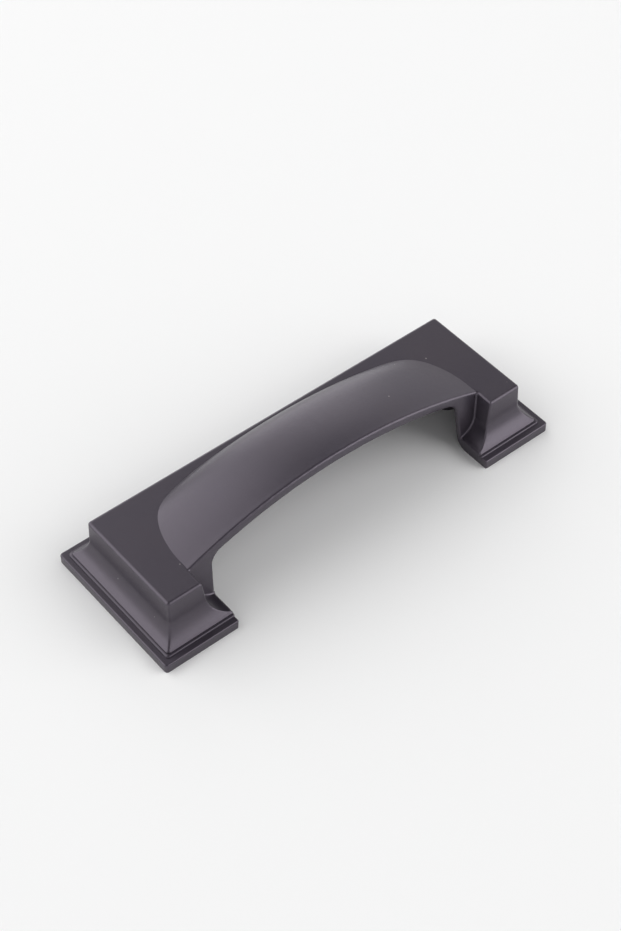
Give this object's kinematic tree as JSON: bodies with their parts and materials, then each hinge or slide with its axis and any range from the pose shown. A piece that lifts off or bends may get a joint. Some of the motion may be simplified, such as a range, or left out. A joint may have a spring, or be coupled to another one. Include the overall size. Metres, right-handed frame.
{
  "type": "cabinet cup pull handle",
  "caption": "Cup pull for a drawer or cabinet: hollow cast arched hood between square stepped feet, satin black, screwed on from behind",
  "frame": {"origin": "centre of the mounting face, on the plane of the drawer front", "axes": "X along the pull, through both screw holes' line; Z away from the drawer front; fingers enter from -Y"},
  "size_m": [0.122, 0.044, 0.0235],
  "materials": {
    "black_coating": "satin black powder coating on a zinc die casting"
  },
  "bodies": {
    "root": {"cup_pull_casting": "black_coating"}
  },
  "joints": []
}
